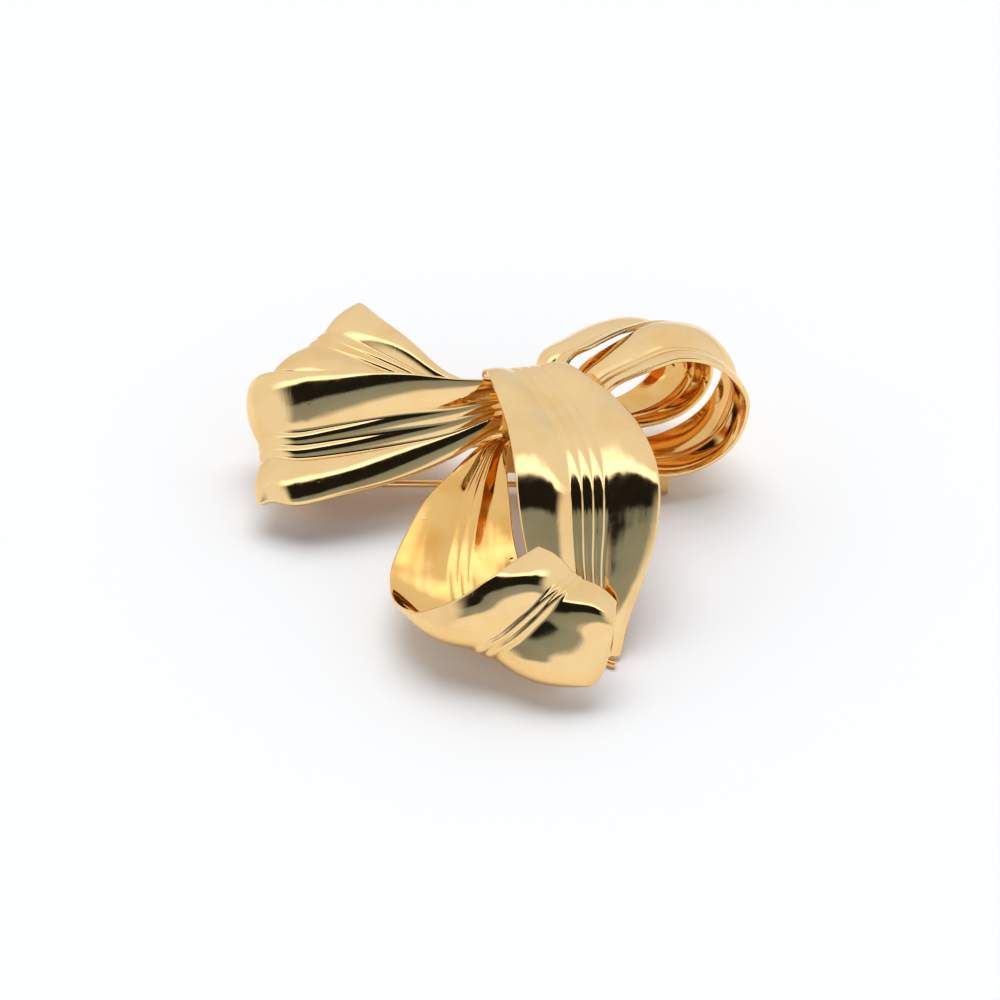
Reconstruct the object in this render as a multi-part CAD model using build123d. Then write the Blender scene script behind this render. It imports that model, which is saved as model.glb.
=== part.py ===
from build123d import *
from collections import namedtuple
from math import cos, pi, radians, sin
import os

# A gold-plated bow brooch, lying on its back with the tails towards the front.
# +X is to the wearer's left, +Y runs from the tails to the back, +Z is up.
# The origin lies on the surface under the middle of the whole brooch. Lengths are millimetres.

# Driving sizes of the bow
sheet = 0.6                # thickness of the metal ribbon
bow_height = 20.0          # from the surface to the top of the knot
left_reach = 34.0          # from the knot to the far end of the left loops
left_width = 21.0          # widest part of the left front loop
left_fold = 1.0            # depth of the folds pressed along the left loops
right_reach = 27.0
right_width = 10.0
right_fold = 0.5
tail_reach = 34.0          # from the knot to the foot of the centre ribbon
tail_width = 18.0
tail_fold = 1.0
curl_width = 22.0
curl_fold = 1.0
lobe = 2.1                 # rise of a fold that takes the whole width, in depths of the folds
rib = 0.24                 # rise of a rib, in depths of the folds
solder_gap = 0.1           # joint left between a ribbon's root and the knot's core
row_steps = 3              # sections lofted for each row of the tables below

# The core that the roots are soldered to, and where the ribbons leave it
core_left = 0.3
core_front = -2.0
core_back = 3.4
core_width = 18.4
left_seat = 3.0            # X of the middle of the left loops' roots
right_seat = 3.0

# The pin across the back, and the two mounts that hold it
wire = 0.9                 # diameter of the pin
pin_height = 1.3           # from the surface to the pin's middle
pin_place = 0.9            # Y of the pin's middle
hinge_reach = 23.0         # from the middle of the bow to the hinge, as X towards the left
hook_reach = 21.0          # the same to the hook, towards the right
pin_past = 1.3             # the pin's tip past the middle of the hook
point_length = 2.4
point_width = 0.16
eye_length = 1.0
eye_wall = 0.55
rivet_radius = 0.5
hinge_room = 0.05          # between the rivet and the pin's eye
side_room = 0.1            # between the eye and the cheek below or above it
back_room = 0.25           # between the eye and the fork's back wall
fork_wall = 1.0
fork_side = 1.3            # half of the fork's width
hook_room = 0.15           # between the pin and the inside of the hook
hook_width = 1.6

# The wire soldered under the tail's foot
stay_length = 10.0
stay_turn = 27.0           # how far the stay turns to the back, in degrees

Row = namedtuple("Row", "out side up turn lean wide puff floor first last")
Ribbon = namedtuple("Ribbon", "rows seat heading reach width fold ribs")

# One row for each section of a ribbon, from its root to its other end.
# out and side are the middle of the section, as shares of the ribbon's reach and width.
# up is its height as a share of the bow's height. turn and lean are the direction of the
# line across the ribbon, in degrees. wide is its width as a share of the ribbon's. puff is
# how far its folds rise and floor is how high the ribs lie over the two edges, both in
# depths of the folds. first and last are the shares of the width that the two large folds
# take; the ribs fill what is between.
left_front_rows = [
    Row(0.00, 0.04, 0.67, 90, 47, 0.20, 0.30, -0.30, 0.34, 0.38),
    Row(0.09, 0.039, 0.679, 90, 60, 0.31, 0.40, -0.40, 0.32, 0.38),
    Row(0.26, -0.041, 0.648, 89, 56, 0.48, 0.60, -0.60, 0.32, 0.38),
    Row(0.46, -0.052, 0.597, 90, 45, 0.66, 0.85, -0.85, 0.34, 0.38),
    Row(0.669, -0.071, 0.564, 91, 34, 0.80, 1.10, -1.10, 0.35, 0.41),
    Row(0.838, -0.074, 0.528, 92, 30, 0.89, 1.10, -1.10, 0.36, 0.44),
    Row(0.966, 0.007, 0.467, 97, 27, 0.88, 1.00, -0.90, 0.36, 0.45),
    Row(1.017, 0.03, 0.369, 98, 19, 0.86, 0.90, -0.80, 0.36, 0.45),
    Row(0.977, 0.05, 0.28, 97, 12, 0.74, 0.70, -0.50, 0.36, 0.45),
    Row(0.83, 0.07, 0.23, 92, 9, 0.61, 0.22, -0.22, 0.34, 0.45),
    Row(0.68, 0.09, 0.23, 91, 10, 0.49, 0.15, -0.15, 0.34, 0.42),
    Row(0.46, 0.11, 0.26, 90, 12, 0.31, 0.10, -0.10, 0.34, 0.38),
    Row(0.26, 0.12, 0.35, 90, 13, 0.19, 0.10, -0.10, 0.34, 0.38),
    Row(0.00, 0.06, 0.48, 90, 11, 0.16, 0.10, -0.10, 0.34, 0.38),
]
left_back_rows = [
    Row(0.10, 0.17, 0.60, 67, 9, 0.13, 0.22, -0.13, 0.38, 0.40),
    Row(0.19, 0.234, 0.632, 67, 8, 0.18, 0.38, -0.23, 0.38, 0.40),
    Row(0.34, 0.341, 0.647, 60, 12, 0.25, 0.55, -0.33, 0.38, 0.40),
    Row(0.50, 0.518, 0.667, 58, 17, 0.43, 0.75, -0.45, 0.38, 0.40),
    Row(0.662, 0.707, 0.67, 52, 16, 0.58, 0.60, -0.40, 0.39, 0.40),
    Row(0.79, 0.861, 0.649, 47, 14, 0.73, 0.60, -0.40, 0.40, 0.40),
    Row(0.83, 0.891, 0.559, 47, 13, 0.74, 0.60, -0.35, 0.40, 0.40),
    Row(0.792, 0.859, 0.437, 46, 11, 0.70, 0.50, -0.30, 0.40, 0.40),
    Row(0.59, 0.66, 0.34, 49, 15, 0.51, 0.22, -0.13, 0.38, 0.40),
    Row(0.40, 0.45, 0.35, 50, 16, 0.30, 0.12, -0.07, 0.38, 0.40),
    Row(0.20, 0.31, 0.38, 57, 14, 0.15, 0.10, -0.06, 0.38, 0.40),
    Row(0.10, 0.20, 0.37, 67, 9, 0.12, 0.10, -0.06, 0.38, 0.40),
]
right_front_rows = [
    Row(0.25, 0.168, 0.657, -65, 8, 0.70, 0.35, -0.35, 0.58, 0.31),
    Row(0.34, 0.44, 0.79, -62, 10, 0.79, 0.55, -0.55, 0.58, 0.31),
    Row(0.51, 0.475, 0.94, -69, 9, 0.96, 0.80, -0.80, 0.60, 0.32),
    Row(0.69, 0.563, 1.025, -72, 5, 1.03, 1.00, -1.00, 0.62, 0.32),
    Row(0.897, 0.654, 0.933, -78, 1, 0.98, 1.00, -1.00, 0.62, 0.32),
    Row(1.022, 0.64, 0.69, -75, -2, 0.89, 1.00, -1.00, 0.62, 0.32),
    Row(0.975, 0.542, 0.425, -72, -4, 0.90, 1.00, -1.00, 0.62, 0.32),
    Row(0.845, 0.428, 0.262, -75, -5, 0.90, 0.80, -0.80, 0.60, 0.32),
    Row(0.652, 0.258, 0.212, -82, -3, 0.83, 0.45, -0.45, 0.58, 0.31),
    Row(0.40, 0.06, 0.30, -88, 0, 0.46, 0.30, -0.30, 0.58, 0.31),
]
right_back_rows = [
    Row(0.10, 0.36, 0.57, -42, 21, 0.54, 0.35, -0.35, 0.60, 0.24),
    Row(0.14, 0.89, 0.773, -47, 21, 0.58, 0.65, -0.65, 0.60, 0.24),
    Row(0.26, 1.102, 0.838, -55, 25, 0.80, 0.90, -0.90, 0.60, 0.24),
    Row(0.431, 1.381, 0.873, -55, 26, 0.90, 1.00, -1.00, 0.60, 0.24),
    Row(0.611, 1.599, 0.838, -51, 25, 0.93, 1.00, -1.00, 0.60, 0.24),
    Row(0.77, 1.663, 0.676, -48, 17, 0.98, 1.00, -1.00, 0.60, 0.24),
    Row(0.81, 1.64, 0.47, -47, 7, 0.95, 1.00, -1.00, 0.60, 0.24),
    Row(0.74, 1.48, 0.32, -49, 1, 0.91, 0.80, -0.80, 0.60, 0.24),
    Row(0.60, 1.22, 0.26, -52, -2, 0.77, 0.50, -0.50, 0.60, 0.24),
    Row(0.37, 0.87, 0.28, -55, -3, 0.54, 0.30, -0.30, 0.60, 0.24),
    Row(0.14, 0.34, 0.36, -55, 0, 0.36, 0.30, -0.30, 0.60, 0.24),
]
centre_rows = [
    Row(-0.20, 0.10, 0.72, 181, -12, 0.42, 0.20, -0.12, 0.32, 0.30),
    Row(-0.14, 0.12, 0.84, 188, -2, 0.51, 0.26, -0.16, 0.32, 0.30),
    Row(-0.092, 0.19, 0.905, 195, 3, 0.58, 0.36, -0.22, 0.32, 0.31),
    Row(0.031, 0.29, 0.927, 201, 4, 0.69, 0.56, -0.34, 0.33, 0.35),
    Row(0.154, 0.399, 0.908, 203, 2, 0.80, 0.75, -0.45, 0.34, 0.38),
    Row(0.326, 0.497, 0.915, 197, 0, 0.89, 0.90, -0.54, 0.36, 0.39),
    Row(0.469, 0.565, 0.853, 193, -1, 0.95, 0.96, -0.58, 0.37, 0.39),
    Row(0.588, 0.594, 0.757, 191, -2, 0.96, 1.00, -0.60, 0.38, 0.39),
    Row(0.683, 0.605, 0.62, 190, -3, 0.91, 1.00, -0.60, 0.39, 0.38),
    Row(0.767, 0.606, 0.48, 190, -4, 0.81, 0.95, -0.57, 0.40, 0.38),
    Row(0.84, 0.617, 0.361, 192, -4, 0.66, 0.80, -0.48, 0.40, 0.38),
    Row(0.908, 0.648, 0.226, 195, -3, 0.44, 0.55, -0.33, 0.40, 0.38),
    Row(0.97, 0.71, 0.03, 199, 0, 0.19, 0.20, -0.12, 0.40, 0.38),
]
curl_rows = [
    Row(0.02, 0.10, 0.48, 0, 4, 0.11, 0.15, 0.00, 0.42, 0.38),
    Row(0.10, -0.03, 0.50, 0, 6, 0.18, 0.30, 0.00, 0.42, 0.36),
    Row(0.25, -0.12, 0.47, -4, 5, 0.33, 0.50, 0.00, 0.43, 0.35),
    Row(0.40, -0.18, 0.44, -7, 2, 0.48, 0.60, 0.00, 0.44, 0.35),
    Row(0.56, -0.22, 0.37, -8, -1, 0.61, 0.70, 0.00, 0.44, 0.38),
    Row(0.719, -0.22, 0.284, -11, -4, 0.76, 0.80, 0.10, 0.42, 0.42),
    Row(0.853, -0.171, 0.222, -16, -6, 0.89, 0.90, 0.30, 0.40, 0.45),
    Row(0.982, -0.101, 0.217, -20, -9, 1.00, 1.10, 0.70, 0.39, 0.48),
    Row(1.084, -0.015, 0.267, -21, -11, 1.03, 1.30, 1.00, 0.39, 0.50),
    Row(1.092, 0.091, 0.35, -17, -12, 0.96, 1.30, 0.90, 0.39, 0.50),
    Row(1.066, 0.191, 0.463, -13, -13, 0.82, 1.10, 0.50, 0.40, 0.48),
    Row(1.019, 0.30, 0.583, -16, -17, 0.66, 0.80, 0.10, 0.42, 0.46),
    Row(0.91, 0.41, 0.60, -27, -24, 0.51, 0.70, -0.20, 0.44, 0.42),
]

ribbons = {
    "left_front_loop": Ribbon(left_front_rows, left_seat, 180, left_reach, left_width, left_fold, 2),
    "left_back_loop": Ribbon(left_back_rows, left_seat, 180, left_reach, left_width, left_fold, 2),
    "right_front_loop": Ribbon(right_front_rows, right_seat, 0, right_reach, right_width, right_fold, 1),
    "right_back_loop": Ribbon(right_back_rows, right_seat, 0, right_reach, right_width, right_fold, 1),
    "centre_ribbon": Ribbon(centre_rows, 0.0, 270, tail_reach, tail_width, tail_fold, 3),
    "curled_tail": Ribbon(curl_rows, 0.0, 270, tail_reach, curl_width, curl_fold, 2),
}


def middle(ribbon, row):
    """The middle of a section's line across the ribbon."""
    out = row.out * ribbon.reach
    side = row.side * ribbon.width
    height = row.up * bow_height
    if ribbon.heading == 180:
        return Vector(ribbon.seat - out, side, height)
    if ribbon.heading == 270:
        return Vector(ribbon.seat + side, -out, height)
    return Vector(ribbon.seat + out, side, height)


def across(row):
    """The direction of the line across the ribbon."""
    turn, lean = radians(row.turn), radians(row.lean)
    return Vector(cos(lean) * cos(turn), cos(lean) * sin(turn), sin(lean))


def fold_points(row, ribs):
    """Shares across the ribbon, with the height there in depths of the folds."""
    points = [(0.0, 0.0)]

    def arch(start, width, base, top, lift, steps):
        for step in range(1, steps + 1):
            part = step / steps
            points.append((start + width * part, base + (top - base) * part + lift * sin(pi * part)))

    rib_width = (1 - row.first - row.last) / ribs
    arch(0.0, row.first, 0.0, row.floor, lobe * row.first * row.puff, 6)
    for number in range(ribs):
        arch(row.first + number * rib_width, rib_width, row.floor, row.floor, rib * row.puff, 2)
    arch(1 - row.last, row.last, row.floor, 0.0, lobe * row.last * row.puff, 6)
    return points


def finer(rows, steps):
    """More rows between the given ones, on smooth curves through them."""
    more = []
    last = len(rows) - 1
    for index in range(last):
        near = [rows[max(index - 1, 0)], rows[index], rows[index + 1], rows[min(index + 2, last)]]
        for step in range(steps):
            part = step / steps
            values = []
            for a, b, c, d in zip(*near):
                bend = (2 * a - 5 * b + 4 * c - d) * part + (3 * b - a - 3 * c + d) * part * part
                values.append(b + 0.5 * part * (c - a + bend))
            more.append(Row(*values))
    return more + [rows[-1]]


def faces_of_sheet(ribbon, grow):
    """Rows of points on the outer and the inner face of the sheet, one row a section."""
    rows = finer(ribbon.rows, row_steps)
    centres = [middle(ribbon, row) for row in rows]
    outer, inner = [], []
    for index, row in enumerate(rows):
        before = centres[max(index - 1, 0)]
        after = centres[min(index + 1, len(centres) - 1)]
        line = across(row)
        outward = line.cross(after - before).normalized()
        width = row.wide * ribbon.width + 2 * grow
        points = []
        for share, height in fold_points(row, ribbon.ribs):
            above = outward * (height * ribbon.fold)
            points.append(centres[index] + line * ((share - 0.5) * width) + above)
        outer.append([point + outward * grow for point in points])
        inner.append([point - outward * (sheet + grow) for point in points])
    return outer, inner


def smooth_line(points):
    """A smooth edge through points, with the same steps on every section."""
    steps = [index / (len(points) - 1) for index in range(len(points))]
    return Edge.make_spline(points, parameters=steps)


def make_ribbon(ribbon, grow=0.0):
    """A pleated ribbon of sheet metal, lofted through its sections."""
    sections = []
    for outer, inner in zip(*faces_of_sheet(ribbon, grow)):
        inner.reverse()
        first_end = Edge.make_line(outer[-1], inner[0])
        last_end = Edge.make_line(inner[-1], outer[0])
        sections.append(Wire([smooth_line(outer), first_end, smooth_line(inner), last_end]))
    return Solid.make_loft(sections, ruled=True)


def make_core(grow=0.0):
    """The block under the knot; its right side slopes out under the right loops."""
    corners = [
        (0.00, 0.26), (0.00, 0.74), (0.16, 0.845), (0.62, 0.845), (0.72, 0.75), (1.00, 0.26),
    ]
    outline = [(core_left + share * core_width, up * bow_height) for share, up in corners]
    face = Plane.XZ * make_face(Polyline(*outline, close=True))
    block = extrude(face, amount=(core_back - core_front) / 2, both=True)
    block = Pos(0, (core_back + core_front) / 2, 0) * block
    if grow:
        return offset(block, grow, kind=Kind.INTERSECTION)
    return block


def make_mount(plan, room):
    """The part of a mount that stands under a ribbon, a soldering gap from its outer face."""
    below = plan - room
    return min(below.solids(), key=lambda solid: solid.center().Z)


def at_pin(x):
    """A place on the pin's line."""
    return Pos(x, pin_place, pin_height)


core_room = make_core(solder_gap)
pieces = {"knot_core": make_core()}
rooms = {}
for name, ribbon in ribbons.items():
    pieces[name] = make_ribbon(ribbon) - core_room
for name in ("left_front_loop", "right_front_loop"):
    rooms[name] = make_ribbon(ribbons[name], solder_gap)

# The stay lies on the surface and is soldered under the foot of the centre ribbon.
foot = middle(ribbons["centre_ribbon"], centre_rows[-1])
stay = Cylinder(wire / 2, stay_length, rotation=(0, 90, 0), align=(Align.CENTER, Align.CENTER, Align.MAX))
stay = Pos(foot.X + wire, foot.Y - wire, wire / 2) * Rot(0, 0, -stay_turn) * stay
pieces["centre_ribbon"] = pieces["centre_ribbon"] + stay

# The hinge is a fork that opens towards the hook, with an upright rivet through it.
eye_radius = rivet_radius + hinge_room + eye_wall
slot_height = eye_length + 2 * side_room
fork_back = eye_radius + back_room + fork_wall
fork_height = left_width / 2
fork = Pos(-hinge_reach, pin_place, 0) * Box(
    fork_back, 2 * fork_side, fork_height, align=(Align.MAX, Align.CENTER, Align.MIN)
)
fork += Pos(-hinge_reach, pin_place, 0) * Cylinder(
    fork_side, fork_height, align=(Align.CENTER, Align.CENTER, Align.MIN)
)
fork -= at_pin(-hinge_reach - eye_radius - back_room) * Box(
    4 * eye_radius, 3 * fork_side, slot_height, align=(Align.MIN, Align.CENTER, Align.CENTER)
)
fork += at_pin(-hinge_reach) * Cylinder(rivet_radius, slot_height + wire)
pieces["pin_hinge"] = make_mount(fork, rooms["left_front_loop"])

# The hook is open to the back, where the pin swings out.
hook_inside = wire / 2 + hook_room
hook_outside = pin_height
hook_plan = at_pin(hook_reach) * Cylinder(hook_outside, hook_width, rotation=(0, 90, 0))
hook_plan += at_pin(hook_reach) * Box(
    hook_width, 2 * hook_outside, left_width / 2, align=(Align.CENTER, Align.CENTER, Align.MIN)
)
hook_plan -= at_pin(hook_reach) * Cylinder(hook_inside, 2 * hook_width, rotation=(0, 90, 0))
hook_plan -= at_pin(hook_reach) * Box(
    2 * hook_width, 2 * hook_outside, 2 * hook_inside, align=(Align.CENTER, Align.MIN, Align.CENTER)
)
pieces["pin_hook"] = make_mount(hook_plan, rooms["right_front_loop"])

# The pin lies closed, from its eye in the fork to its point past the hook.
pin_length = hinge_reach + hook_reach + pin_past
stem = Cylinder(
    wire / 2, pin_length - point_length, rotation=(0, 90, 0), align=(Align.CENTER, Align.CENTER, Align.MIN)
)
point = Cone(
    wire / 2, point_width / 2, point_length, rotation=(0, 90, 0),
    align=(Align.CENTER, Align.CENTER, Align.MIN),
)
pin = stem + Pos(pin_length - point_length, 0, 0) * point + Cylinder(eye_radius, eye_length)
pin -= Cylinder(rivet_radius + hinge_room, 2 * eye_length)
pieces["pin_stem"] = at_pin(-hinge_reach) * pin

# The origin goes under the middle of the whole brooch.
whole = Compound(list(pieces.values())).bounding_box()
to_origin = Pos(-whole.center().X, -whole.center().Y, -whole.min.Z)
print("moved by", to_origin.position)

os.makedirs("parts", exist_ok=True)
for name, piece in pieces.items():
    piece = to_origin * piece
    print(name, len(piece.solids()), round(piece.volume, 1))
    export_step(piece, f"parts/{name}.step")
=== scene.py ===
import bpy
import bmesh
import math
from mathutils import Matrix, Vector, noise


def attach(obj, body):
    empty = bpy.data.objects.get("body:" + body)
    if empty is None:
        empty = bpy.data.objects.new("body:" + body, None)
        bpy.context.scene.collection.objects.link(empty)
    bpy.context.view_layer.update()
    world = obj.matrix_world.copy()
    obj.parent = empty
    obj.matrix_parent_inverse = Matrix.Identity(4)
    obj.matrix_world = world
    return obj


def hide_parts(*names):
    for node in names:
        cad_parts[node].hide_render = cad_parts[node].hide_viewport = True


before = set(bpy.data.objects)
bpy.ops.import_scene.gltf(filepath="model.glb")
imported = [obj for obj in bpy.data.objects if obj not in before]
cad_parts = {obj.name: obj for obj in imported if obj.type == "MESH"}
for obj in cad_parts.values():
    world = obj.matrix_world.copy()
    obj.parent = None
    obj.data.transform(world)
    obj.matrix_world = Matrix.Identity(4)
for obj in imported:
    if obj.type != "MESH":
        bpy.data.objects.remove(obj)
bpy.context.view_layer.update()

print("frame loaded:", sorted(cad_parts))

# Lengths are in metres. Each row of a ribbon is one section of it, root first:
# out, side and up: its middle, in parts of the ribbon's reach and width and of the bow's height
# turn and lean: of the line across it, in degrees
# wide: its width, in parts of the ribbon's width
# puff and floor: how far its folds swell, and how high the ribs stand over its edges
# first and last: how much of it the two big folds take, with the ribs between them

bow = {
    "height": 0.020,
    "sheet": 0.0006,
    "rimRound": 0.00014,
    "rimSteps": 2,
    "moved": (0.000529, 0.008474, 0.0),  # the knot's place, from under the middle of the whole brooch
    "bigFold": 2.1,
    "bigFoldSteps": 20,
    "rib": 0.24,
    "ribSteps": 6,
    "ribPlump": 0.8,
    "stepsPerRow": 9,
}

leftFront = {
    "goes": "left", "seat": 0.003, "reach": 0.034, "width": 0.021,
    "fold": 0.001, "plump": 0.65, "ribs": 2, "seed": 1,
    "rows": [
        (0.00, 0.04, 0.67, 90, 47, 0.20, 0.30, -0.30, 0.34, 0.38),
        (0.09, 0.039, 0.679, 90, 60, 0.31, 0.40, -0.40, 0.32, 0.38),
        (0.26, -0.041, 0.648, 89, 56, 0.48, 0.60, -0.60, 0.32, 0.38),
        (0.46, -0.052, 0.597, 90, 45, 0.66, 0.85, -0.85, 0.34, 0.38),
        (0.669, -0.071, 0.564, 91, 34, 0.80, 1.10, -1.10, 0.35, 0.41),
        (0.838, -0.074, 0.528, 92, 30, 0.89, 1.10, -1.10, 0.36, 0.44),
        (0.966, 0.007, 0.467, 97, 27, 0.88, 1.00, -0.90, 0.36, 0.45),
        (1.017, 0.03, 0.369, 98, 19, 0.86, 0.90, -0.80, 0.36, 0.45),
        (0.977, 0.05, 0.28, 97, 12, 0.74, 0.70, -0.50, 0.36, 0.45),
        (0.83, 0.07, 0.23, 92, 9, 0.61, 0.22, -0.22, 0.34, 0.45),
        (0.68, 0.09, 0.23, 91, 10, 0.49, 0.15, -0.15, 0.34, 0.42),
        (0.46, 0.11, 0.26, 90, 12, 0.31, 0.10, -0.10, 0.34, 0.38),
        (0.26, 0.12, 0.35, 90, 13, 0.19, 0.10, -0.10, 0.34, 0.38),
        (0.00, 0.06, 0.48, 90, 11, 0.16, 0.10, -0.10, 0.34, 0.38),
    ],
}
leftBack = {
    "goes": "left", "seat": 0.003, "reach": 0.034, "width": 0.021,
    "fold": 0.001, "plump": 1.0, "ribs": 2, "seed": 2,
    "rows": [
        (0.10, 0.17, 0.60, 67, 9, 0.13, 0.22, -0.13, 0.38, 0.40),
        (0.19, 0.234, 0.632, 67, 8, 0.18, 0.38, -0.23, 0.38, 0.40),
        (0.34, 0.341, 0.647, 60, 12, 0.25, 0.55, -0.33, 0.38, 0.40),
        (0.50, 0.518, 0.667, 58, 17, 0.43, 0.75, -0.45, 0.38, 0.40),
        (0.662, 0.707, 0.67, 52, 16, 0.58, 0.60, -0.40, 0.39, 0.40),
        (0.79, 0.861, 0.649, 47, 14, 0.73, 0.60, -0.40, 0.40, 0.40),
        (0.83, 0.891, 0.559, 47, 13, 0.74, 0.60, -0.35, 0.40, 0.40),
        (0.792, 0.859, 0.437, 46, 11, 0.70, 0.50, -0.30, 0.40, 0.40),
        (0.59, 0.66, 0.34, 49, 15, 0.51, 0.22, -0.13, 0.38, 0.40),
        (0.40, 0.45, 0.35, 50, 16, 0.30, 0.12, -0.07, 0.38, 0.40),
        (0.20, 0.31, 0.38, 57, 14, 0.15, 0.10, -0.06, 0.38, 0.40),
        (0.10, 0.20, 0.37, 67, 9, 0.12, 0.10, -0.06, 0.38, 0.40),
    ],
}
rightFront = {
    "goes": "right", "seat": 0.003, "reach": 0.027, "width": 0.010,
    "fold": 0.0005, "plump": 1.0, "ribs": 1, "seed": 3,
    "rows": [
        (0.25, 0.168, 0.657, -65, 8, 0.70, 0.35, -0.35, 0.58, 0.31),
        (0.34, 0.44, 0.79, -62, 10, 0.79, 0.55, -0.55, 0.58, 0.31),
        (0.51, 0.475, 0.94, -69, 9, 0.96, 0.80, -0.80, 0.60, 0.32),
        (0.69, 0.563, 1.025, -72, 5, 1.03, 1.00, -1.00, 0.62, 0.32),
        (0.897, 0.654, 0.933, -78, 1, 0.98, 1.00, -1.00, 0.62, 0.32),
        (1.022, 0.64, 0.69, -75, -2, 0.89, 1.00, -1.00, 0.62, 0.32),
        (0.975, 0.542, 0.425, -72, -4, 0.90, 1.00, -1.00, 0.62, 0.32),
        (0.845, 0.428, 0.262, -75, -5, 0.90, 0.80, -0.80, 0.60, 0.32),
        (0.652, 0.258, 0.212, -82, -3, 0.83, 0.45, -0.45, 0.58, 0.31),
        (0.40, 0.06, 0.30, -88, 0, 0.46, 0.30, -0.30, 0.58, 0.31),
    ],
}
rightBack = {
    "goes": "right", "seat": 0.003, "reach": 0.027, "width": 0.010,
    "fold": 0.0005, "plump": 1.0, "ribs": 1, "seed": 4,
    "rows": [
        (0.10, 0.36, 0.57, -42, 21, 0.54, 0.35, -0.35, 0.60, 0.24),
        (0.14, 0.89, 0.773, -47, 21, 0.58, 0.65, -0.65, 0.60, 0.24),
        (0.26, 1.102, 0.838, -55, 25, 0.80, 0.90, -0.90, 0.60, 0.24),
        (0.431, 1.381, 0.873, -55, 26, 0.90, 1.00, -1.00, 0.60, 0.24),
        (0.611, 1.599, 0.838, -51, 25, 0.93, 1.00, -1.00, 0.60, 0.24),
        (0.77, 1.663, 0.676, -48, 17, 0.98, 1.00, -1.00, 0.60, 0.24),
        (0.81, 1.64, 0.47, -47, 7, 0.95, 1.00, -1.00, 0.60, 0.24),
        (0.74, 1.48, 0.32, -49, 1, 0.91, 0.80, -0.80, 0.60, 0.24),
        (0.60, 1.22, 0.26, -52, -2, 0.77, 0.50, -0.50, 0.60, 0.24),
        (0.37, 0.87, 0.28, -55, -3, 0.54, 0.30, -0.30, 0.60, 0.24),
        (0.14, 0.34, 0.36, -55, 0, 0.36, 0.30, -0.30, 0.60, 0.24),
    ],
}
centre = {
    "goes": "front", "seat": 0.0, "reach": 0.034, "width": 0.018,
    "fold": 0.001, "plump": 1.0, "ribs": 3, "seed": 5,
    "rows": [
        (-0.20, 0.10, 0.72, 181, -12, 0.42, 0.20, -0.12, 0.32, 0.30),
        (-0.14, 0.12, 0.84, 188, -2, 0.51, 0.26, -0.16, 0.32, 0.30),
        (-0.092, 0.19, 0.905, 195, 3, 0.58, 0.36, -0.22, 0.32, 0.31),
        (0.031, 0.29, 0.927, 201, 4, 0.69, 0.56, -0.34, 0.33, 0.35),
        (0.154, 0.399, 0.908, 203, 2, 0.80, 0.75, -0.45, 0.34, 0.38),
        (0.326, 0.497, 0.915, 197, 0, 0.89, 0.90, -0.54, 0.36, 0.39),
        (0.469, 0.565, 0.853, 193, -1, 0.95, 0.96, -0.58, 0.37, 0.39),
        (0.588, 0.594, 0.757, 191, -2, 0.96, 1.00, -0.60, 0.38, 0.39),
        (0.683, 0.605, 0.62, 190, -3, 0.91, 1.00, -0.60, 0.39, 0.38),
        (0.767, 0.606, 0.48, 190, -4, 0.81, 0.95, -0.57, 0.40, 0.38),
        (0.84, 0.617, 0.361, 192, -4, 0.66, 0.80, -0.48, 0.40, 0.38),
        (0.908, 0.648, 0.226, 195, -3, 0.44, 0.55, -0.33, 0.40, 0.38),
        (0.97, 0.71, 0.03, 199, 0, 0.19, 0.20, -0.12, 0.40, 0.38),
    ],
}
curl = {
    "goes": "front", "seat": 0.0, "reach": 0.034, "width": 0.022,
    "fold": 0.001, "plump": 1.0, "ribs": 2, "seed": 6,
    "rows": [
        (0.02, 0.10, 0.48, 0, 4, 0.11, 0.15, 0.00, 0.42, 0.38),
        (0.10, -0.03, 0.50, 0, 6, 0.18, 0.30, 0.00, 0.42, 0.36),
        (0.25, -0.12, 0.47, -4, 5, 0.33, 0.50, 0.00, 0.43, 0.35),
        (0.40, -0.18, 0.44, -7, 2, 0.48, 0.60, 0.00, 0.44, 0.35),
        (0.56, -0.22, 0.37, -8, -1, 0.61, 0.70, 0.00, 0.44, 0.38),
        (0.719, -0.22, 0.284, -11, -4, 0.76, 0.80, 0.10, 0.42, 0.42),
        (0.853, -0.171, 0.222, -16, -6, 0.89, 0.90, 0.30, 0.40, 0.45),
        (0.982, -0.101, 0.217, -20, -9, 1.00, 1.10, 0.70, 0.39, 0.48),
        (1.084, -0.015, 0.267, -21, -11, 1.03, 1.30, 1.00, 0.39, 0.50),
        (1.092, 0.091, 0.35, -17, -12, 0.96, 1.30, 0.90, 0.39, 0.50),
        (1.066, 0.191, 0.463, -13, -13, 0.82, 1.10, 0.50, 0.40, 0.48),
        (1.019, 0.30, 0.583, -16, -17, 0.66, 0.80, 0.10, 0.42, 0.46),
        (0.91, 0.41, 0.60, -27, -24, 0.51, 0.70, -0.20, 0.44, 0.42),
    ],
}


def between(rows, steps):
    # smooth values between the rows, the rows themselves kept
    last = len(rows) - 1
    for index in range(last):
        near = [rows[max(index - 1, 0)], rows[index], rows[index + 1], rows[min(index + 2, last)]]
        for step in range(steps):
            part = step / steps
            yield [
                b + 0.5 * part * (
                    c - a + (2 * a - 5 * b + 4 * c - d) * part + (3 * b - a - 3 * c + d) * part * part
                )
                for a, b, c, d in zip(*near)
            ]
    yield list(rows[last])


def middleOf(ribbon, row):
    out, side, height = row[0] * ribbon["reach"], row[1] * ribbon["width"], row[2] * bow["height"]
    x, y = {"left": (-out, side), "right": (out, side), "front": (side, -out)}[ribbon["goes"]]
    return Vector((ribbon["seat"] + x, y, height)) + Vector(bow["moved"])


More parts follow.
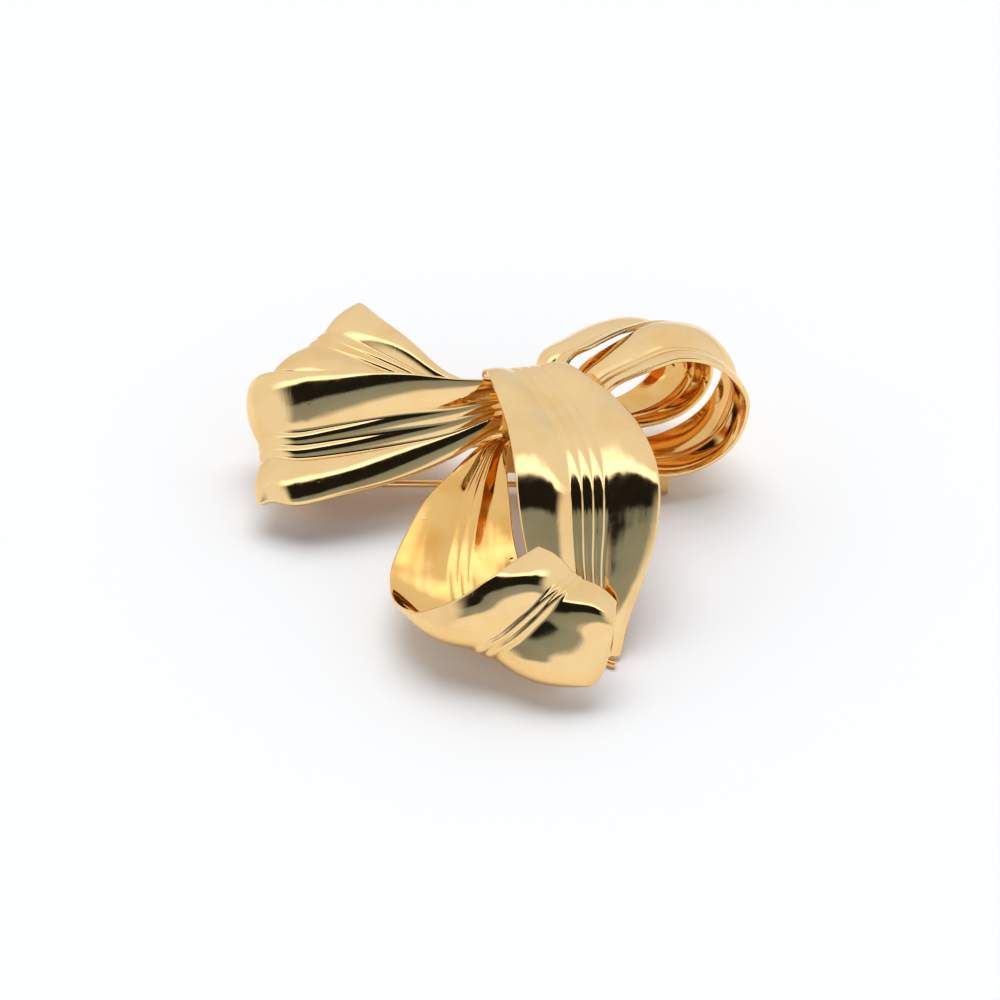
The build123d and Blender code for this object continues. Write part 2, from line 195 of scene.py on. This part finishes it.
def foldLine(puff, floor, first, last, ribs, plump):
    # share of the width and rise, in parts of the ribbon's fold, from edge to edge
    line = [(0.0, 0.0)]

    def arch(start, width, base, top, lift, steps, fullness):
        for step in range(1, steps + 1):
            part = step / steps
            rise = lift * abs(math.sin(math.pi * part)) ** fullness
            line.append((start + width * part, base + (top - base) * part + rise))

    ribWidth, ribLift = (1 - first - last) / ribs, bow["rib"] * puff
    arch(0.0, first, 0.0, floor, bow["bigFold"] * first * puff, bow["bigFoldSteps"], plump)
    for number in range(ribs):
        arch(first + number * ribWidth, ribWidth, floor, floor, ribLift, bow["ribSteps"], bow["ribPlump"])
    arch(1 - last, last, floor, 0.0, bow["bigFold"] * last * puff, bow["bigFoldSteps"], plump)
    return line


unevenness = {
    "across": 2.2, "along": 90, "apart": 7.3,  # how fast it changes over a ribbon, and from one to the next
    "drift": 0.006,  # how far the folds wander, in parts of the width
    "dent": 0.035, "dentScale": 1.7, "dentShift": (3, 5, 1),
}


def sectionsOf(ribbon):
    # for every section: points across the outer face, their places on the flat ribbon, the way out of it
    rows = list(between(ribbon["rows"], bow["stepsPerRow"]))
    centres = [middleOf(ribbon, row) for row in rows]
    ownPlace = ribbon["seed"] * unevenness["apart"]
    gone = 0.0  # the way along the ribbon so far
    for index, row in enumerate(rows):
        if index:
            gone += (centres[index] - centres[index - 1]).length
        turn, lean, wide, *folds = row[3:]
        turn, lean, width = math.radians(turn), math.radians(lean), wide * ribbon["width"]
        line = Vector((math.cos(lean) * math.cos(turn), math.cos(lean) * math.sin(turn), math.sin(lean)))
        along = centres[min(index + 1, len(rows) - 1)] - centres[max(index - 1, 0)]
        outward = line.cross(along).normalized()
        points, places = [], []
        for share, lift in foldLine(*folds, ribbon["ribs"], ribbon["plump"]):
            spot = Vector((share * unevenness["across"], gone * unevenness["along"], ownPlace))
            drift = unevenness["drift"] * noise.noise(spot) * math.sin(math.pi * share)
            dentSpot = spot * unevenness["dentScale"] + Vector(unevenness["dentShift"])
            rise = lift * ribbon["fold"] * (1 + unevenness["dent"] * noise.noise(dentSpot))
            points.append(centres[index] + line * ((share + drift - 0.5) * width) + outward * rise)
            places.append((share * width, gone))
        yield points, places, outward


def roundEdges(mesh, edges, radius, steps):
    bmesh.ops.bevel(
        mesh, geom=edges, offset=radius, segments=steps, profile=0.5, affect="EDGES", material=-1
    )


def placeMesh(name, mesh, smooth=True):
    for face in mesh.faces:
        face.smooth = smooth
    data = bpy.data.meshes.new(name)
    mesh.to_mesh(data)
    mesh.free()
    piece = bpy.data.objects.new(name, data)
    bpy.context.scene.collection.objects.link(piece)
    return piece


def growOuterFace(mesh, ribbon):
    # drawn out from section to section; returns how far each point moves through the sheet
    uvLayer = mesh.loops.layers.uv.new("alongRibbon")
    flatPlace, inwards = {}, {}
    row, edges = None, None
    for points, places, outward in sectionsOf(ribbon):
        if row is None:
            row = [mesh.verts.new(point) for point in points]
            edges = [mesh.edges.new(pair) for pair in zip(row, row[1:])]
        else:
            grown = bmesh.ops.extrude_edge_only(mesh, edges=edges)["geom"]
            fresh = {part for part in grown if isinstance(part, bmesh.types.BMVert)}
            row = [next(e.other_vert(v) for e in v.link_edges if e.other_vert(v) in fresh) for v in row]
            edges = [part for part in grown if isinstance(part, bmesh.types.BMEdge)]
            for vert, point in zip(row, points):
                vert.co = point
        for vert, place in zip(row, places):
            flatPlace[vert], inwards[vert] = place, -outward * bow["sheet"]
    for face in mesh.faces:
        for loop in face.loops:
            loop[uvLayer].uv = flatPlace[loop.vert]
    return inwards


def thicken(mesh, inwards):
    # the same faces again on the other side of the sheet, and rounded rims between the two
    copied = bmesh.ops.duplicate(mesh, geom=list(mesh.faces))
    for vert, move in inwards.items():
        copied["vert_map"][vert].co = vert.co + move
    for part in copied["geom"]:
        if isinstance(part, bmesh.types.BMFace):
            # the inner copies take the second material, the darker gold with painted shade
            part.material_index = 1
    borders = [edge for edge in mesh.edges if edge.is_boundary]
    rims = set(bmesh.ops.bridge_loops(mesh, edges=borders)["faces"])
    bmesh.ops.recalc_face_normals(mesh, faces=mesh.faces)
    corners = [edge for edge in mesh.edges if len({face in rims for face in edge.link_faces}) == 2]
    roundEdges(mesh, corners, bow["rimRound"], bow["rimSteps"])


def bendRibbon(name, ribbon, node):
    mesh = bmesh.new()
    thicken(mesh, growOuterFace(mesh, ribbon))
    piece = placeMesh(name, mesh)
    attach(piece, "bow")
    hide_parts(node)
    print("ribbon bent:", name, len(piece.data.vertices), "points")
    return piece


# a grain is the scale and detail of a noise, and a span the part of its range that is used
goldPlate = {
    "tint": (0.95, 0.65, 0.29), "worn": (0.90, 0.57, 0.225), "wearGrain": (160, 5), "wearSpan": (0.45, 0.7),
    "smoothness": (0.045, 0.13), "hazeGrain": (700, 6), "hazeSpan": (0.35, 0.75),
    "ripple": 0.05, "rippleGrain": (260, 2), "rippleDepth": 0.0004,  # the sheet is not perfectly flat
    "scratch": 0.05, "hairGrain": (1500, 3), "hairSpan": (0.60, 0.66), "scratchDepth": 0.00004,
    "hairStretch": (1, 0.03, 0.35), "hairTurn": (0.3, 0.2, 0.5),  # fine polishing lines
    "pit": 0.12, "pitScale": 330, "pitSpan": (0.03, 0.09), "pitDepth": 0.0001,
}


def polishedGold(name, look):
    material = bpy.data.materials.new(name)
    material.use_nodes = True
    nodes, links = material.node_tree.nodes, material.node_tree.links
    shader = nodes["Principled BSDF"]
    shader.inputs["Metallic"].default_value = 1.0
    surface = nodes.new("ShaderNodeTexCoord").outputs["Object"]

    def cloud(grain, place=surface):
        texture = nodes.new("ShaderNodeTexNoise")
        texture.inputs["Scale"].default_value, texture.inputs["Detail"].default_value = grain
        links.new(place, texture.inputs["Vector"])
        return texture.outputs["Fac"]

    def spread(value, span, start=0, end=1):
        ranged = nodes.new("ShaderNodeMapRange")
        ranged.inputs["From Min"].default_value = span[0]
        ranged.inputs["From Max"].default_value = span[1]
        ranged.inputs["To Min"].default_value = start
        ranged.inputs["To Max"].default_value = end
        links.new(value, ranged.inputs["Value"])
        return ranged.outputs["Result"]

    def bump(height, strength, distance, under=None):
        node = nodes.new("ShaderNodeBump")
        node.inputs["Strength"].default_value = strength
        node.inputs["Distance"].default_value = distance
        links.new(height, node.inputs["Height"])
        if under:
            links.new(under, node.inputs["Normal"])
        return node.outputs["Normal"]

    tone = nodes.new("ShaderNodeMix")  # from the plate's tone to a warmer one where it has worn
    tone.data_type = "RGBA"
    tone.inputs[6].default_value = (*look["tint"], 1)
    tone.inputs[7].default_value = (*look["worn"], 1)
    links.new(spread(cloud(look["wearGrain"]), look["wearSpan"]), tone.inputs["Factor"])
    links.new(tone.outputs[2], shader.inputs["Base Color"])
    haze = spread(cloud(look["hazeGrain"]), look["hazeSpan"], *look["smoothness"])
    links.new(haze, shader.inputs["Roughness"])

    ripple = bump(cloud(look["rippleGrain"]), look["ripple"], look["rippleDepth"])
    hairPlace = nodes.new("ShaderNodeMapping")
    hairPlace.inputs["Scale"].default_value = look["hairStretch"]
    hairPlace.inputs["Rotation"].default_value = look["hairTurn"]
    links.new(surface, hairPlace.inputs["Vector"])
    hair = spread(cloud(look["hairGrain"], hairPlace.outputs["Vector"]), look["hairSpan"])
    lines = bump(hair, look["scratch"], look["scratchDepth"], ripple)
    pits = nodes.new("ShaderNodeTexVoronoi")
    pits.inputs["Scale"].default_value = look["pitScale"]
    links.new(surface, pits.inputs["Vector"])
    holes = spread(pits.outputs["Distance"], look["pitSpan"])
    links.new(bump(holes, look["pit"], look["pitDepth"], lines), shader.inputs["Normal"])
    return material


outside = polishedGold("goldOutside", goldPlate)
# inner faces and knot core: a darker, deeper orange copy of the gold, painted shade and painted reflection
# of light the gold bounces into itself; its worn tone still varies at random
insidePaintedShade = polishedGold("goldInsidePaintedShade", dict(
    goldPlate, tint=(0.87, 0.515, 0.165), worn=(0.80, 0.42, 0.105), smoothness=(0.07, 0.15),
    scratch=0.04, ripple=0.06,
))
mounts = polishedGold("goldMounts", dict(goldPlate, tint=(0.88, 0.55, 0.22), smoothness=(0.16, 0.3)))
wireGold = polishedGold("goldWire", dict(goldPlate, smoothness=(0.12, 0.22), pit=0.0))
print("gold mixed")

for name, ribbon, node in (
    ("leftFrontLoop", leftFront, "left_front_loop"),
    ("leftBackLoop", leftBack, "left_back_loop"),
    ("rightFrontLoop", rightFront, "right_front_loop"),
    ("rightBackLoop", rightBack, "right_back_loop"),
    ("centreRibbon", centre, "centre_ribbon"),
    ("curledTail", curl, "curled_tail"),
):
    piece = bendRibbon(name, ribbon, node)
    piece.data.materials.append(outside)
    piece.data.materials.append(insidePaintedShade)

# the short wire soldered under the foot of the centre ribbon
stay = {
    "tip": (0.01421, -0.02543, 0.00045), "length": 0.010, "thick": 0.0009, "turn": 27.0,
    "sides": 24, "endRound": 0.00018, "endSteps": 3,
}

rod = bmesh.new()
stayRadius = stay["thick"] / 2
bmesh.ops.create_cone(
    rod, cap_ends=True, segments=stay["sides"], radius1=stayRadius, radius2=stayRadius, depth=stay["length"]
)
ends = [edge for edge in rod.edges if any(len(face.verts) == stay["sides"] for face in edge.link_faces)]
roundEdges(rod, ends, stay["endRound"], stay["endSteps"])
bmesh.ops.translate(rod, verts=rod.verts, vec=(0, 0, stay["length"] / 2))
lay = (
    Matrix.Translation(stay["tip"])
    @ Matrix.Rotation(math.radians(180 - stay["turn"]), 4, "Z")
    @ Matrix.Rotation(math.radians(90), 4, "Y")
)
bmesh.ops.transform(rod, matrix=lay, verts=rod.verts)
stayPiece = placeMesh("tailStay", rod)
stayPiece.data.materials.append(wireGold)
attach(stayPiece, "bow")
print("stay laid")

# the knot core takes the darker inner gold with its painted shade; the pin parts keep their own gold
kept = {"knot_core": insidePaintedShade, "pin_hinge": mounts, "pin_hook": mounts, "pin_stem": wireGold}
for name, material in kept.items():
    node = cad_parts[name]
    node.data.materials.clear()
    node.data.materials.append(material)
print("frame pieces dressed")

paleTable = {"reach": 3.0, "tint": (0.86, 0.825, 0.755), "roughness": 0.75}

table = bmesh.new()
bmesh.ops.create_grid(table, x_segments=1, y_segments=1, size=paleTable["reach"])
tableTop = placeMesh("paleTable", table, smooth=False)
paper = bpy.data.materials.new("palePaper")
paper.use_nodes = True
paperShader = paper.node_tree.nodes["Principled BSDF"]
paperShader.inputs["Base Color"].default_value = (*paleTable["tint"], 1)
paperShader.inputs["Roughness"].default_value = paleTable["roughness"]
tableTop.data.materials.append(paper)
print("table laid")

studio = {
    "strength": 3.2,  # brightness of the surroundings
    "cool": (1.0, 1.05, 1.16),  # tint of all the light
    "bands": [  # degrees up from the front and over, then red, green and blue there
        (0, 0.30, 0.30, 0.30), (27, 0.30, 0.30, 0.30), (38, 0.096, 0.110, 0.122),
        (58, 0.080, 0.098, 0.110), (65, 0.004, 0.004, 0.004), (95, 0.004, 0.004, 0.004),
        (99, 0.56, 0.56, 0.56), (103, 0.56, 0.56, 0.56), (110, 0.28, 0.28, 0.28),
        (140, 0.27, 0.27, 0.27), (180, 0.24, 0.24, 0.24),
    ],
    "waver": 0.05, "waverScale": 3.5, "waverDetail": 2.0,  # the bands' edges are not straight
    "sides": 0.28, "sideStart": 0.62, "sideEnd": 0.80,  # an even tone to the left and the right
    "panelLight": 1.70, "panelSpread": 50, "panelLean": 18,
}

world = bpy.data.worlds.new("softStudio")
bpy.context.scene.world = world
world.use_nodes = True
nodes, links = world.node_tree.nodes, world.node_tree.links
sky = nodes["Background"]
sky.inputs["Strength"].default_value = studio["strength"]
direction = nodes.new("ShaderNodeTexCoord").outputs["Generated"]
split = nodes.new("ShaderNodeSeparateXYZ")
links.new(direction, split.inputs["Vector"])


def worked(operation, *values):
    node = nodes.new("ShaderNodeMath")
    node.operation = operation
    for socket, value in zip(node.inputs, values):
        if isinstance(value, (int, float)):
            socket.default_value = value
        else:
            links.new(value, socket)
    return node.outputs[0]


front = worked("MULTIPLY", split.outputs["Y"], -1)
share = worked("DIVIDE", worked("ARCTAN2", split.outputs["Z"], front), math.pi)
patches = nodes.new("ShaderNodeTexNoise")
patches.inputs["Scale"].default_value = studio["waverScale"]
patches.inputs["Detail"].default_value = studio["waverDetail"]
links.new(direction, patches.inputs["Vector"])
wander = worked("MULTIPLY_ADD", patches.outputs["Fac"], studio["waver"], -0.5 * studio["waver"])
bands = nodes.new("ShaderNodeValToRGB")
bands.color_ramp.interpolation = "EASE"
while len(bands.color_ramp.elements) < len(studio["bands"]):
    bands.color_ramp.elements.new(0.5)
for element, (angle, *tone) in zip(bands.color_ramp.elements, studio["bands"]):
    element.position = angle / 180
    element.color = (*(light * shade for light, shade in zip(tone, studio["cool"])), 1)
links.new(worked("ADD", share, wander), bands.inputs["Fac"])
sideways = nodes.new("ShaderNodeMapRange")
sideways.interpolation_type = "SMOOTHSTEP"
sideways.inputs["From Min"].default_value = studio["sideStart"]
sideways.inputs["From Max"].default_value = studio["sideEnd"]
links.new(worked("ABSOLUTE", split.outputs["X"]), sideways.inputs["Value"])
blend = nodes.new("ShaderNodeMix")
blend.data_type = "RGBA"
links.new(sideways.outputs["Result"], blend.inputs["Factor"])
links.new(bands.outputs["Color"], blend.inputs[6])
blend.inputs[7].default_value = (*(studio["sides"] * shade for shade in studio["cool"]), 1)
links.new(blend.outputs[2], sky.inputs["Color"])

panelLight = bpy.data.lights.new("softPanel", "SUN")  # a large soft panel, far overhead
panelLight.energy = studio["panelLight"]
panelLight.angle = math.radians(studio["panelSpread"])
panelLight.color = studio["cool"]
panel = bpy.data.objects.new("softPanel", panelLight)
panel.rotation_euler = (-math.radians(studio["panelLean"]), 0, 0)
panel.visible_glossy = False  # the bands above are what the metal mirrors
bpy.context.scene.collection.objects.link(panel)

view = {"up": 37.0, "away": 0.300, "lens": 83.08, "sensor": 36.0, "near": 0.01, "raise": -0.00052}
tilt = math.radians(view["up"])
lookDir = Vector((0, math.cos(tilt), -math.sin(tilt)))
upDir = Vector((0, math.sin(tilt), math.cos(tilt)))
camera = bpy.data.objects.new("camera", bpy.data.cameras.new("camera"))
bpy.context.scene.collection.objects.link(camera)
camera.data.lens = view["lens"]
camera.data.sensor_width = view["sensor"]
camera.data.clip_start = view["near"]
camera.location = upDir * view["raise"] - lookDir * view["away"] + Vector(bow["moved"])
camera.rotation_euler = (math.radians(90) - tilt, 0, 0)
bpy.context.scene.camera = camera
bpy.context.scene.view_settings.view_transform = "Standard"
bpy.context.view_layer.update()
print("studio set")
